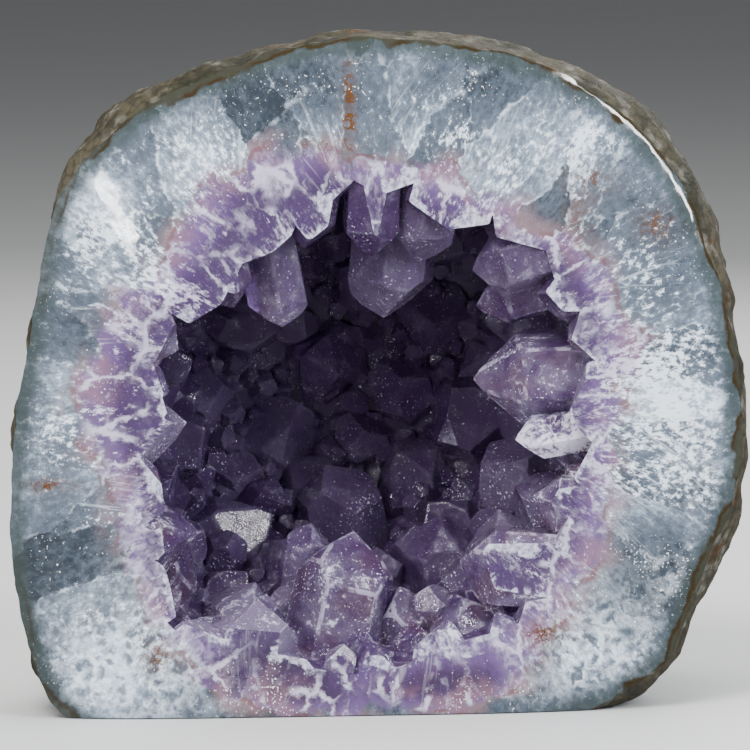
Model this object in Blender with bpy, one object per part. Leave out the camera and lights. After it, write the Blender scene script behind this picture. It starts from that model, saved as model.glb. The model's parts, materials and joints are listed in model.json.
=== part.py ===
"""Amethyst geode half: sawn and polished in front, sawn flat below, rough behind.

Two solids. geode_wall is the banded quartz wall with its lumpy outer skin, and amethyst_crust is the
layer of quartz points that lines its hollow, fused into one piece as they grew. The polished face looks
along -Y, the sawn base lies on Z = 0, and lengths are in millimetres until MM turns them into metres.
"""

import math
import random

import bmesh
import bpy
from mathutils import Matrix, Vector, noise

MM = 0.001

# The stone as a whole
MIDDLE_HEIGHT = 50.0
DEPTH = 64.0
WAIST_DEPTH = 13.0
BACK_ROUNDNESS = 2.3
BACK_RADIUS = 57.0
LUMP_SIZE = 17.0
LUMP_HEIGHT = 2.2
KNOB_SIZE = 26.0
KNOB_HEIGHT = 3.2
CALM_RADIUS = 34.0

# Outline of the polished face: direction in degrees about the middle, from +X towards +Z, and radius
FACE_OUTLINE = (
    (0, 57.4), (20, 57.3), (40, 59.8), (60, 60.4), (80, 58.9), (100, 59.3), (120, 60.0), (134, 61.9),
    (147, 62.0), (158, 59.5), (171, 58.4), (190, 61.3), (210, 68.1), (223, 72.3), (240, 66.0),
    (270, 60.0), (295, 59.0), (308, 61.1), (318, 61.8), (326, 59.3), (334, 58.2), (344, 58.7),
)

# Size of the rough waist behind the face, as a share of the face: it stands out all round but on the left
WAIST_OUTLINE = (
    (0, 1.045), (20, 1.038), (40, 1.030), (60, 1.020), (80, 1.015), (100, 1.015), (120, 1.020),
    (134, 1.020), (147, 1.0), (158, 0.985), (180, 0.975), (210, 0.985), (223, 1.0), (240, 1.0),
    (270, 1.0), (308, 1.025), (326, 1.040), (344, 1.047),
)

# Where the polish rolls over: a narrow round all along the rim, and a broad one on the stone's left
RIM_ROLL_START = 0.86
RIM_ROLL_DROP = 2.2
LEFT_ROLL_START = 0.62
LEFT_ROLL_DROP = 6.0
LEFT_ROLL_MIDDLE = 160.0
LEFT_ROLL_SPREAD = 45.0

# The hollow in the wall that the crust fills: its outline on the face, and its depth
SEAT_OUTLINE = (
    (0, 36.5), (20, 40.5), (40, 41.5), (58, 37.5), (80, 38.5), (100, 41.0), (122, 44.5), (142, 42.2),
    (162, 46.5), (180, 48.2), (200, 47.5), (222, 52.0), (236, 51.0), (250, 47.0), (266, 46.0),
    (283, 43.0), (302, 43.8), (320, 42.0), (340, 38.0),
)
SEAT_DEPTH = 49.0
SEAT_ROUNDNESS = 2.5
SEAT_RISE = 0.16
CRUST_GAP = 0.3
LINING = 2.6
TRIM_MARGIN = 2.0

# Mesh fineness
AROUND = 56
OUTER_RINGS = 13
SEAT_RINGS = 8
FACE_STEPS = (0.4, 0.7, 0.86, 0.95)
SECTION_STEPS = (0.86, 0.72)

# Quartz points that stand out at the front: where the root sits on the hollow (direction in degrees and
# depth behind the face), where the tip is (X, depth behind the face, Z), and the width across flats
MAIN_POINTS = (
    ("top_hanging", (85, 17), (0.7, 16.0, 62.5), 13.0),
    ("top_middle", (92, 3), (-2.1, 5.0, 73.5), 9.0),
    ("top_right", (77, 5), (6.0, 8.0, 72.0), 10.0),
    ("top_left", (104, 2), (-12.7, 3.0, 75.0), 8.5),
    ("upper_left_block", (131, 3), (-24.2, 4.0, 65.5), 9.0),
    ("upper_left_deep", (119, 9), (-16.3, 10.0, 61.7), 9.5),
    ("upper_right_block", (38, 4), (14.2, 6.0, 70.7), 9.0),
    ("upper_right_deep", (28, 10), (15.0, 11.0, 65.0), 8.5),
    ("right_purple", (26, 2), (24.3, 3.0, 67.4), 8.0),
    ("right_large", (3, 10), (14.5, 11.0, 53.1), 14.0),
    ("right_clear", (352, 6), (21.0, 5.0, 43.5), 6.5),
    ("right_round", (333, 3), (22.9, 4.5, 34.0), 9.0),
    ("lower_right", (318, 5), (11.8, 6.0, 24.2), 13.0),
    ("bottom_right", (281, 2), (9.3, 2.5, 15.2), 10.0),
    ("bottom_middle", (268, 3), (-4.6, 4.0, 12.5), 8.0),
    ("bottom_left", (243, 5), (-20.0, 6.0, 18.0), 14.0),
    ("floor_large", (259, 14), (-4.0, 15.0, 28.0), 16.0),
    ("floor_left", (252, 22), (-11.4, 20.0, 29.0), 8.0),
    ("left_round", (208, 6), (-30.0, 6.0, 29.0), 12.0),
    ("left_cut", (197, 1), (-35.5, 1.0, 35.0), 10.0),
    ("left_large", (185, 4), (-31.8, 4.5, 47.0), 12.0),
    ("left_small", (174, 1), (-34.5, 2.0, 52.5), 9.0),
    ("left_rosy", (164, 4), (-33.0, 5.0, 59.0), 10.0),
    ("back_large", (262, 38), (-7.8, 34.0, 37.0), 13.0),
)

# A row of points lies in the face itself, sawn through. Their tips reach this outline of the opening.
OPENING_OUTLINE = (
    (0, 29.0), (20, 31.0), (48, 34.5), (65, 29.0), (87, 33.0), (103, 34.0), (124, 30.0), (149, 31.0),
    (162, 36.5), (180, 35.0), (198, 39.0), (217, 44.0), (240, 44.5), (262, 42.0), (285, 39.5),
    (310, 38.0), (335, 32.5),
)
RIM_POINTS = 20
RIM_WIDTHS = (12.0, 17.0)
RIM_DEPTHS = (-1.5, 1.5)
RIM_SWAY = 4.0
RIM_SLOPES = (math.radians(24.0), math.radians(38.0))

# The rest of the crust is scattered over the hollow
SEED = 41
SCATTER_TRIES = 3000
SCATTER_WIDTHS = (9.0, 15.0)
SCATTER_REACH = (0.40, 0.85)
SCATTER_SPACING = 0.88
SCATTER_TILT = 0.32
GROWTH_MIDDLE = 20.0
GROWTH_LEAN = 0.85
ROOT_BURIAL = 4.0
TIP_SLOPES = (math.radians(42.0), math.radians(52.0))
FLAT_SPREAD = (0.86, 1.06)
BROAD_LIFT = (-0.22, 0.0)
NARROW_LIFT = (0.0, 0.30)

FULL_TURN = 2 * math.pi


def clear_scene():
    for old in list(bpy.data.objects):
        bpy.data.objects.remove(old)


def radius_at(outline, degrees):
    """Smooth closed curve through an outline's points, as a radius for a direction."""
    degrees %= 360
    count = len(outline)
    after = next((i for i, point in enumerate(outline) if point[0] > degrees), count)
    angles = []
    radii = []
    for step in (-2, -1, 0, 1):
        turns, index = divmod(after + step, count)
        angles.append(outline[index][0] + 360 * turns)
        radii.append(outline[index][1])
    span = angles[2] - angles[1]
    share = (degrees - angles[1]) / span
    slope_in = (radii[2] - radii[0]) / (angles[2] - angles[0]) * span
    slope_out = (radii[3] - radii[1]) / (angles[3] - angles[1]) * span
    square, cube = share**2, share**3
    return (
        (2 * cube - 3 * square + 1) * radii[1]
        + (cube - 2 * square + share) * slope_in
        + (3 * square - 2 * cube) * radii[2]
        + (cube - square) * slope_out
    )


def around_middle(degrees, radius, depth):
    angle = math.radians(degrees)
    return Vector((radius * math.cos(angle), depth, MIDDLE_HEIGHT + radius * math.sin(angle)))


def rim_drop(degrees, share):
    """How far the polished face has rolled back, at a share of the way from the middle to the rim."""
    off = (degrees - LEFT_ROLL_MIDDLE + 180) % 360 - 180
    left = math.exp(-((off / LEFT_ROLL_SPREAD) ** 2))
    rim = max(0.0, (share - RIM_ROLL_START) / (1 - RIM_ROLL_START))
    broad = max(0.0, (share - LEFT_ROLL_START) / (1 - LEFT_ROLL_START))
    return RIM_ROLL_DROP * rim**2 + left * LEFT_ROLL_DROP * broad**2


def on_polish(point):
    """The same point moved back onto the rolled polished face."""
    across, up = point.x, point.z - MIDDLE_HEIGHT
    degrees = math.degrees(math.atan2(up, across))
    drop = rim_drop(degrees, math.hypot(across, up) / radius_at(FACE_OUTLINE, degrees))
    return Vector((point.x, drop, point.z))


def outer_point(degrees, turn):
    """A point of the rough outside: turn is 0 at the waist and 90 degrees at the back's middle."""
    bent = math.radians(turn)
    share = radius_at(WAIST_OUTLINE, degrees) * max(0.0, math.cos(bent)) ** (2 / BACK_ROUNDNESS)
    depth = WAIST_DEPTH + (DEPTH - WAIST_DEPTH) * math.sin(bent) ** (2 / BACK_ROUNDNESS)
    radius = radius_at(FACE_OUTLINE, degrees)
    radius += (BACK_RADIUS - radius) * math.sin(bent) ** 2
    point = around_middle(degrees, radius * share, depth)
    outward = (point - Vector((0, WAIST_DEPTH, MIDDLE_HEIGHT))).normalized()
    calm = min(1.0, radius * share / CALM_RADIUS)
    knobs = KNOB_HEIGHT * (0.5 - noise.voronoi(point / KNOB_SIZE)[0][0]) * math.sin(bent)
    lumps = LUMP_HEIGHT * noise.noise(point / LUMP_SIZE)
    return point + outward * calm * (knobs + lumps)


def seat_point(degrees, turn, gap=0.0):
    """A point of the hollow's wall: turn is 0 at the face and 90 degrees at its deepest."""
    bent = math.radians(turn)
    share = max(0.0, math.cos(bent)) ** (2 / SEAT_ROUNDNESS)
    depth = (SEAT_DEPTH - gap) * math.sin(bent) ** (2 / SEAT_ROUNDNESS)
    point = around_middle(degrees, (radius_at(SEAT_OUTLINE, degrees) - gap) * share, depth)
    return point + Vector((0, 0, SEAT_RISE * depth))


def seat_turn(depth):
    return math.degrees(math.asin((depth / SEAT_DEPTH) ** (SEAT_ROUNDNESS / 2)))


def growth_direction(root):
    """Points grow towards the middle of the hollow, and those near the face along the face."""
    depth = min(root.y * GROWTH_LEAN, GROWTH_MIDDLE)
    return (Vector((0, depth, MIDDLE_HEIGHT + SEAT_RISE * depth)) - root).normalized()


def add_rings(bm, rings, tip):
    """Rings of points joined by faces into a skin, closed at its last ring by a tip."""
    levels = [[bm.verts.new(point) for point in ring] for ring in rings]
    for first, second in zip(levels, levels[1:]):
        for i in range(len(first)):
            j = (i + 1) % len(first)
            bm.faces.new((first[i], first[j], second[j], second[i]))
    top = bm.verts.new(tip)
    last = levels[-1]
    for i in range(len(last)):
        bm.faces.new((last[i], last[(i + 1) % len(last)], top))
    return levels[0]


def close_between(bm, first, second):
    for i in range(len(first)):
        j = (i + 1) % len(first)
        bm.faces.new((first[i], first[j], second[j], second[i]))


def cut_flat(bm, point, normal):
    """Takes away what lies on the normal's side of a plane, and closes the cut with one flat face."""
    everything = bm.verts[:] + bm.edges[:] + bm.faces[:]
    cut = bmesh.ops.bisect_plane(
        bm, geom=everything, plane_co=point, plane_no=normal, clear_outer=True, dist=1e-5
    )
    rim = [piece for piece in cut["geom_cut"] if isinstance(piece, bmesh.types.BMEdge)]
    if rim:
        bmesh.ops.contextual_create(bm, geom=rim)


def finish_mesh(bm, name):
    """The mesh in metres, with its faces pointing out."""
    bmesh.ops.recalc_face_normals(bm, faces=bm.faces[:])
    bmesh.ops.scale(bm, vec=(MM, MM, MM), verts=bm.verts[:])
    mesh = bpy.data.meshes.new(name)
    bm.to_mesh(mesh)
    bm.free()
    return mesh


def add_object(name, mesh, helper=False):
    obj = bpy.data.objects.new(name, mesh)
    bpy.context.scene.collection.objects.link(obj)
    if helper:
        obj.hide_render = True
        obj.display_type = "WIRE"
    return obj


def material(name, colour, roughness):
    made = bpy.data.materials.new(name)
    made.use_nodes = True
    shader = made.node_tree.nodes["Principled BSDF"]
    shader.inputs["Base Color"].default_value = (*colour, 1.0)
    shader.inputs["Roughness"].default_value = roughness
    shader.inputs["Metallic"].default_value = 0.0
    return made


def wall_mesh():
    """The stone: rough dome behind, rolled polished face in front, and the hollow in it."""
    bm = bmesh.new()
    directions = [360 * i / AROUND for i in range(AROUND)]
    rings = [[outer_point(a, 90 * k / OUTER_RINGS) for a in directions] for k in range(OUTER_RINGS)]
    waist = add_rings(bm, rings, outer_point(0, 90))
    seat_rings = [[seat_point(a, 90 * k / SEAT_RINGS) for a in directions] for k in range(SEAT_RINGS)]
    seat_rings[0] = [on_polish(point) for point in seat_rings[0]]
    inner = add_rings(bm, seat_rings, seat_point(0, 90))
    previous = inner
    for step in (*FACE_STEPS, 1.0):
        ring = []
        for a in directions:
            seat_radius = radius_at(SEAT_OUTLINE, a)
            face_radius = radius_at(FACE_OUTLINE, a)
            radius = seat_radius + (face_radius - seat_radius) * step
            ring.append(bm.verts.new(around_middle(a, radius, rim_drop(a, radius / face_radius))))
        close_between(bm, previous, ring)
        previous = ring
    close_between(bm, previous, waist)
    cut_flat(bm, Vector((0, 0, 0)), Vector((0, 0, -1)))
    return finish_mesh(bm, "geode_wall")


def seat_solid(name, gap, proud=0.0):
    """The hollow's own shape as a solid, smaller than the hollow by the gap.

    Its front is flat and stands proud of the face, or with nothing proud it follows the polish.
    """
    bm = bmesh.new()
    directions = [360 * i / AROUND for i in range(AROUND)]
    rings = [[seat_point(a, 90 * k / SEAT_RINGS, gap) for a in directions] for k in range(SEAT_RINGS)]
    if proud:
        rings.insert(0, [point - Vector((0, proud, 0)) for point in rings[0]])
    else:
        rings[0] = [on_polish(point) for point in rings[0]]
    previous = add_rings(bm, rings, seat_point(0, 90, gap))
    if not proud:
        middle = Vector((0, 0, MIDDLE_HEIGHT))
        for share in SECTION_STEPS:
            ring = [bm.verts.new(on_polish(middle.lerp(point, share))) for point in rings[0]]
            close_between(bm, previous, ring)
            previous = ring
    bm.faces.new(previous)
    return add_object(name, finish_mesh(bm, name), helper=True)


def quartz_point(name, root, tip, width, slopes, rng):
    """A quartz crystal: six uneven prism flats and a tip of three broad and three narrow sloping faces."""
    axis = tip - root
    length = axis.length + ROOT_BURIAL
    half = width / 2
    steepness = rng.uniform(*slopes)
    bm = bmesh.new()
    bmesh.ops.create_cube(bm, size=2.0)
    bmesh.ops.scale(bm, vec=(width, width, length), verts=bm.verts[:])
    cut_flat(bm, Vector((0, 0, -length)), Vector((0, 0, -1)))
    for side in range(6):
        angle = FULL_TURN * side / 6
        out = Vector((math.cos(angle), math.sin(angle), 0))
        cut_flat(bm, out * half * rng.uniform(*FLAT_SPREAD), out)
        slope = out * math.sin(steepness) + Vector((0, 0, math.cos(steepness)))
        lift = half * (rng.uniform(*BROAD_LIFT) if side % 2 else rng.uniform(*NARROW_LIFT))
        cut_flat(bm, Vector((0, 0, lift)), slope)
    top = max(vert.co.z for vert in bm.verts)
    roll = Matrix.Rotation(rng.uniform(0, FULL_TURN), 3, "Z")
    turn = axis.to_track_quat("Z", "Y").to_matrix() @ roll
    bmesh.ops.translate(bm, vec=(0, 0, -top), verts=bm.verts[:])
    bmesh.ops.rotate(bm, cent=(0, 0, 0), matrix=turn, verts=bm.verts[:])
    bmesh.ops.translate(bm, vec=tip, verts=bm.verts[:])
    return add_object(name, finish_mesh(bm, name), helper=True)


def rim_points(rng):
    """Roots, tips, widths and slopes of the row of blunt points that the saw went through."""
    found = []
    for k in range(RIM_POINTS):
        degrees = 360 * k / RIM_POINTS
        depth = rng.uniform(*RIM_DEPTHS)
        root = around_middle(degrees, radius_at(SEAT_OUTLINE, degrees), depth)
        aim = degrees + rng.uniform(-RIM_SWAY, RIM_SWAY)
        tip = around_middle(aim, radius_at(OPENING_OUTLINE, aim), depth)
        found.append((root, tip, rng.uniform(*RIM_WIDTHS), RIM_SLOPES))
    return found


def scattered_points(rng, taken):
    """Roots, tips, widths and slopes of points that fill the hollow between those already there."""
    found = []
    for _ in range(SCATTER_TRIES):
        degrees = rng.uniform(0, 360)
        turn = rng.uniform(0, 90)
        width = rng.uniform(*SCATTER_WIDTHS)
        root = seat_point(degrees, turn)
        if any((root - other).length < SCATTER_SPACING * (width + size) / 2 for other, size in taken):
            continue
        tilt = Vector((rng.uniform(-1, 1), rng.uniform(-1, 1), rng.uniform(-1, 1))) * SCATTER_TILT
        axis = (growth_direction(root) + tilt).normalized()
        tip = root + axis * (LINING + width * rng.uniform(*SCATTER_REACH))
        taken.append((root, width))
        found.append((root, tip, width, TIP_SLOPES))
    return found


def largest_piece(obj, name):
    """An object's mesh with its modifiers applied, without the sealed gaps between crowded points."""
    graph = bpy.context.evaluated_depsgraph_get()
    bm = bmesh.new()
    bm.from_mesh(bpy.data.meshes.new_from_object(obj.evaluated_get(graph)))
    pieces = []
    unseen = set(bm.faces)
    while unseen:
        piece = set()
        edge_of_piece = [unseen.pop()]
        while edge_of_piece:
            face = edge_of_piece.pop()
            piece.add(face)
            for edge in face.edges:
                for other in edge.link_faces:
                    if other in unseen:
                        unseen.remove(other)
                        edge_of_piece.append(other)
        pieces.append(piece)
    keep = max(pieces, key=lambda piece: sum(face.calc_area() for face in piece))
    bmesh.ops.delete(bm, geom=[face for face in bm.faces if face not in keep], context="FACES")
    mesh = bpy.data.meshes.new(name)
    bm.to_mesh(mesh)
    bm.free()
    return mesh


def crust_object():
    """The crust: lining and points fused, trimmed to the hollow and to the face."""
    rng = random.Random(SEED)
    points = []
    for name, (degrees, depth), tip, width in MAIN_POINTS:
        points.append((seat_point(degrees, seat_turn(depth)), Vector(tip), width, TIP_SLOPES))
    points += rim_points(rng)
    taken = [(root, width) for root, _, width, _ in points]
    points += scattered_points(rng, taken)
    group = bpy.data.collections.new("crust_points")
    bpy.context.scene.collection.children.link(group)
    group.hide_render = True
    for number, (root, tip, width, slopes) in enumerate(points):
        obj = quartz_point(f"point_{number:03d}", root, tip, width, slopes, rng)
        bpy.context.scene.collection.objects.unlink(obj)
        group.objects.link(obj)
    trim = seat_solid("crust_trim", CRUST_GAP)
    hollow = seat_solid("crust_hollow", LINING, proud=3 * TRIM_MARGIN)
    crust = seat_solid("crust_draft", -TRIM_MARGIN, proud=TRIM_MARGIN)
    for label, operation, target in (
        ("hollow", "DIFFERENCE", hollow),
        ("points", "UNION", group),
        ("trim", "INTERSECT", trim),
    ):
        change = crust.modifiers.new(label, "BOOLEAN")
        change.operation = operation
        if operation == "UNION":
            change.operand_type = "COLLECTION"
            change.collection = target
        else:
            change.object = target
    return add_object("amethyst_crust", largest_piece(crust, "amethyst_crust"))


def centre_on_base(objects):
    """Moves the meshes so that the origin is under the middle of the whole stone."""
    corners = [vert.co for obj in objects for vert in obj.data.vertices]
    shift = Vector((
        -(min(c.x for c in corners) + max(c.x for c in corners)) / 2,
        -(min(c.y for c in corners) + max(c.y for c in corners)) / 2,
        -min(c.z for c in corners),
    ))
    for obj in objects:
        obj.data.transform(Matrix.Translation(shift))


def main():
    clear_scene()
    wall = add_object("geode_wall", wall_mesh())
    wall.data.materials.append(material("banded_quartz", (0.62, 0.66, 0.70), 0.25))
    crust = crust_object()
    crust.data.materials.append(material("amethyst", (0.34, 0.22, 0.48), 0.12))
    centre_on_base([wall, crust])


main()
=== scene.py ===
"""Looks of the amethyst geode half: polished quartz wall, rough rind, and a crust of see-through points.

The shapes are worked out in millimetres in the stone's own frame: X to the viewer's right, depth behind the
polished face, height above the base. TO_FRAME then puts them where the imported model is, in metres.
"""

import json
import math
import random
from functools import partialmethod

import bmesh
import bpy
import numpy as np
from mathutils import Matrix, Quaternion, Vector, noise
from mathutils.kdtree import KDTree

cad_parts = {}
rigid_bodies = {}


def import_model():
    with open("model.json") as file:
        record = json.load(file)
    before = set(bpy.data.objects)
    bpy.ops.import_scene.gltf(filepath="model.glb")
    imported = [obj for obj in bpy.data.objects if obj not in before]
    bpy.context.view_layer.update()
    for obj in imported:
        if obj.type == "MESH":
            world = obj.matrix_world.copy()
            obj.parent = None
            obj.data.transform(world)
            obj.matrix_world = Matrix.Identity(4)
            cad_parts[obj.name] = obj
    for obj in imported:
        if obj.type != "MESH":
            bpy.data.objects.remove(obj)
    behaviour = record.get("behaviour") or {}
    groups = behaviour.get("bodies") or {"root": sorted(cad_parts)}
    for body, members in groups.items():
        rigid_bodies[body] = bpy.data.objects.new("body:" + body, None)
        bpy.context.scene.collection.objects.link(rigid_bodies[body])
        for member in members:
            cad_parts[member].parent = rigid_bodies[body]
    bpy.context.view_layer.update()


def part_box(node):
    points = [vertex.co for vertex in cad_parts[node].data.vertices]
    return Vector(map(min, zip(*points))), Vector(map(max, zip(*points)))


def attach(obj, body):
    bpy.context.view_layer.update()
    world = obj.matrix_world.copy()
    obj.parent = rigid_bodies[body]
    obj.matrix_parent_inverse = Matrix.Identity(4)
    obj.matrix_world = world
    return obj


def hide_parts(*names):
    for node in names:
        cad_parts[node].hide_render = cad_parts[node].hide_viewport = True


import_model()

# Where the solids that only shape the crust stay until they are removed
HELPERS = bpy.data.collections.new("helpers")
bpy.context.scene.collection.children.link(HELPERS)

MM = 0.001

# The stone as a whole, as in the solids
MIDDLE_HEIGHT = 50.0
DEPTH = 64.0
WAIST_DEPTH = 13.0
BACK_ROUNDNESS = 2.3
BACK_RADIUS = 57.0
LUMP_SIZE = 17.0
LUMP_HEIGHT = 2.2
KNOB_SIZE = 26.0
KNOB_HEIGHT = 3.2
CALM_RADIUS = 34.0

# Outline of the polished face: direction in degrees about the middle, from +X towards +Z, and radius
FACE_OUTLINE = (
    (0, 57.4), (20, 57.3), (40, 59.8), (60, 60.4), (80, 58.9), (100, 59.3), (120, 60.0), (134, 61.9),
    (147, 62.0), (158, 59.5), (171, 58.4), (190, 61.3), (210, 68.1), (223, 72.3), (240, 66.0),
    (270, 60.0), (295, 59.0), (308, 61.1), (318, 61.8), (326, 59.3), (334, 58.2), (344, 58.7),
)

# Size of the rough waist behind the face, as a share of the face: it stands out all round but on the left
WAIST_OUTLINE = (
    (0, 1.045), (20, 1.038), (40, 1.030), (60, 1.020), (80, 1.015), (100, 1.015), (120, 1.020),
    (134, 1.020), (147, 1.0), (158, 0.985), (180, 0.975), (210, 0.985), (223, 1.0), (240, 1.0),
    (270, 1.0), (308, 1.025), (326, 1.040), (344, 1.047),
)

# Where the polish rolls over: a narrow round all along the rim, and a broad one on the stone's left
RIM_ROLL_START = 0.86
RIM_ROLL_DROP = 2.2
LEFT_ROLL_START = 0.62
LEFT_ROLL_DROP = 6.0
LEFT_ROLL_MIDDLE = 160.0
LEFT_ROLL_SPREAD = 45.0

# The hollow in the wall that the crust fills
SEAT_OUTLINE = (
    (0, 36.5), (20, 40.5), (40, 41.5), (58, 37.5), (80, 38.5), (100, 41.0), (122, 44.5), (142, 42.2),
    (162, 46.5), (180, 48.2), (200, 47.5), (222, 52.0), (236, 51.0), (250, 47.0), (266, 46.0),
    (283, 43.0), (302, 43.8), (320, 42.0), (340, 38.0),
)
SEAT_DEPTH = 49.0
SEAT_ROUNDNESS = 2.5
SEAT_RISE = 0.16
CRUST_GAP = 0.3
LINING = 2.6
SOLID_AROUND = 56

# Quartz points that stand out at the front: root direction and depth, tip, and width across flats
MAIN_POINTS = (
    ("top_hanging", (85, 17), (0.7, 16.0, 62.5), 13.0),
    ("top_middle", (92, 3), (-2.1, 5.0, 73.5), 9.0),
    ("top_right", (77, 5), (6.0, 8.0, 72.0), 10.0),
    ("top_left", (104, 2), (-12.7, 3.0, 75.0), 8.5),
    ("upper_left_block", (131, 3), (-24.2, 4.0, 65.5), 9.0),
    ("upper_left_deep", (119, 9), (-16.3, 10.0, 61.7), 9.5),
    ("upper_right_block", (38, 4), (14.2, 6.0, 70.7), 9.0),
    ("upper_right_deep", (28, 10), (15.0, 11.0, 65.0), 8.5),
    ("right_purple", (26, 2), (24.3, 3.0, 67.4), 8.0),
    ("right_large", (3, 10), (14.5, 11.0, 53.1), 14.0),
    ("right_clear", (352, 6), (21.0, 5.0, 43.5), 6.5),
    ("right_round", (333, 3), (22.9, 4.5, 34.0), 9.0),
    ("lower_right", (318, 5), (11.8, 6.0, 24.2), 13.0),
    ("bottom_right", (281, 2), (9.3, 2.5, 15.2), 10.0),
    ("bottom_middle", (268, 3), (-4.6, 4.0, 12.5), 8.0),
    ("bottom_left", (243, 5), (-20.0, 6.0, 18.0), 14.0),
    ("floor_large", (259, 14), (-4.0, 15.0, 28.0), 16.0),
    ("floor_left", (252, 22), (-11.4, 20.0, 29.0), 8.0),
    ("left_round", (208, 6), (-30.0, 6.0, 29.0), 12.0),
    ("left_cut", (197, 1), (-35.5, 1.0, 35.0), 10.0),
    ("left_large", (185, 4), (-31.8, 4.5, 47.0), 12.0),
    ("left_small", (174, 1), (-34.5, 2.0, 52.5), 9.0),
    ("left_rosy", (164, 4), (-33.0, 5.0, 59.0), 10.0),
    ("back_large", (262, 38), (-7.8, 34.0, 37.0), 13.0),
)

# The row of points in the face itself, sawn through, whose tips reach this outline
OPENING_OUTLINE = (
    (0, 29.0), (20, 31.0), (48, 34.5), (65, 29.0), (87, 33.0), (103, 34.0), (124, 30.0), (149, 31.0),
    (162, 36.5), (180, 35.0), (198, 39.0), (217, 44.0), (240, 44.5), (262, 42.0), (285, 39.5),
    (310, 38.0), (335, 32.5),
)
RIM_POINTS = 20
RIM_WIDTHS = (12.0, 17.0)
RIM_DEPTHS = (-1.5, 1.5)
RIM_SWAY = 4.0
RIM_SLOPES = (math.radians(24.0), math.radians(38.0))

# The rest of the crust, scattered over the hollow as in the solids
SEED = 41
SCATTER_TRIES = 3000
SCATTER_WIDTHS = (9.0, 15.0)
SCATTER_REACH = (0.40, 0.85)
SCATTER_SPACING = 0.88
SCATTER_TILT = 0.32
GROWTH_MIDDLE = 20.0
GROWTH_LEAN = 0.85
ROOT_BURIAL = 4.0
TIP_SLOPES = (math.radians(42.0), math.radians(52.0))
FLAT_SPREAD = (0.86, 1.06)
BROAD_LIFT = (-0.22, 0.0)
NARROW_LIFT = (0.0, 0.30)

# Finer points between the large ones, and the small round on every crystal edge
FINE_SEED = 7
FINE_TRIES = 5200
FINE_WIDTHS = (3.0, 7.0)
FINE_REACH = (0.5, 1.15)
FINE_SPACING = 0.9
FINE_CROWDING = 0.55
EDGE_ROUND = 0.45
EDGE_STEPS = 2
EDGE_PROFILE = 0.6
FINE_EDGE_ROUND = 0.2

# Fineness of the visual meshes
AROUND = 480
FACE_RINGS = 44
EDGE_RINGS = 12
OUTER_RINGS = 76
SEAT_RINGS = 14
CAP_RINGS = 56
CAP_AROUND = 220

# The rind: how far the polish stops short of the outline, and the roughness of the skin
RIND_WIDTH = 0.35
RIND_WAVER = 0.55
RIND_WAVER_SIZE = 6.0
SKIN_LUMP_SIZE = 7.0
SKIN_LUMP_HEIGHT = 0.9
SKIN_KNOB_SIZE = 4.6
SKIN_KNOB_HEIGHT = 0.75
SKIN_GRAIN_SIZE = 1.6
SKIN_GRAIN_HEIGHT = 0.28

FULL_TURN = 2 * math.pi


def radius_at(outline, degrees):
    """Smooth closed curve through an outline's points, as a radius for a direction."""
    degrees %= 360
    count = len(outline)
    after = next((i for i, point in enumerate(outline) if point[0] > degrees), count)
    angles = []
    radii = []
    for step in (-2, -1, 0, 1):
        turns, index = divmod(after + step, count)
        angles.append(outline[index][0] + 360 * turns)
        radii.append(outline[index][1])
    span = angles[2] - angles[1]
    share = (degrees - angles[1]) / span
    slope_in = (radii[2] - radii[0]) / (angles[2] - angles[0]) * span
    slope_out = (radii[3] - radii[1]) / (angles[3] - angles[1]) * span
    square, cube = share**2, share**3
    return (
        (2 * cube - 3 * square + 1) * radii[1]
        + (cube - 2 * square + share) * slope_in
        + (3 * square - 2 * cube) * radii[2]
        + (cube - square) * slope_out
    )


def around_middle(degrees, radius, depth):
    angle = math.radians(degrees)
    return Vector((radius * math.cos(angle), depth, MIDDLE_HEIGHT + radius * math.sin(angle)))


def rim_drop(degrees, share):
    """How far the polished face has rolled back, at a share of the way from the middle to the rim."""
    off = (degrees - LEFT_ROLL_MIDDLE + 180) % 360 - 180
    left = math.exp(-((off / LEFT_ROLL_SPREAD) ** 2))
    rim = max(0.0, (share - RIM_ROLL_START) / (1 - RIM_ROLL_START))
    broad = max(0.0, (share - LEFT_ROLL_START) / (1 - LEFT_ROLL_START))
    return RIM_ROLL_DROP * rim**2 + left * LEFT_ROLL_DROP * broad**2


def outer_point(degrees, turn):
    """A point of the rough outside: turn is 0 at the waist and 90 degrees at the back's middle."""
    bent = math.radians(turn)
    share = radius_at(WAIST_OUTLINE, degrees) * max(0.0, math.cos(bent)) ** (2 / BACK_ROUNDNESS)
    depth = WAIST_DEPTH + (DEPTH - WAIST_DEPTH) * math.sin(bent) ** (2 / BACK_ROUNDNESS)
    radius = radius_at(FACE_OUTLINE, degrees)
    radius += (BACK_RADIUS - radius) * math.sin(bent) ** 2
    point = around_middle(degrees, radius * share, depth)
    outward = (point - Vector((0, WAIST_DEPTH, MIDDLE_HEIGHT))).normalized()
    calm = min(1.0, radius * share / CALM_RADIUS)
    knobs = KNOB_HEIGHT * (0.5 - noise.voronoi(point / KNOB_SIZE)[0][0]) * math.sin(bent)
    lumps = LUMP_HEIGHT * noise.noise(point / LUMP_SIZE)
    return point + outward * calm * (knobs + lumps)


def seat_point(degrees, turn, gap=0.0):
    """A point of the hollow's wall: turn is 0 at the face and 90 degrees at its deepest."""
    bent = math.radians(turn)
    share = max(0.0, math.cos(bent)) ** (2 / SEAT_ROUNDNESS)
    depth = (SEAT_DEPTH - gap) * math.sin(bent) ** (2 / SEAT_ROUNDNESS)
    point = around_middle(degrees, (radius_at(SEAT_OUTLINE, degrees) - gap) * share, depth)
    return point + Vector((0, 0, SEAT_RISE * depth))


def seat_turn(depth):
    return math.degrees(math.asin((depth / SEAT_DEPTH) ** (SEAT_ROUNDNESS / 2)))


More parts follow.
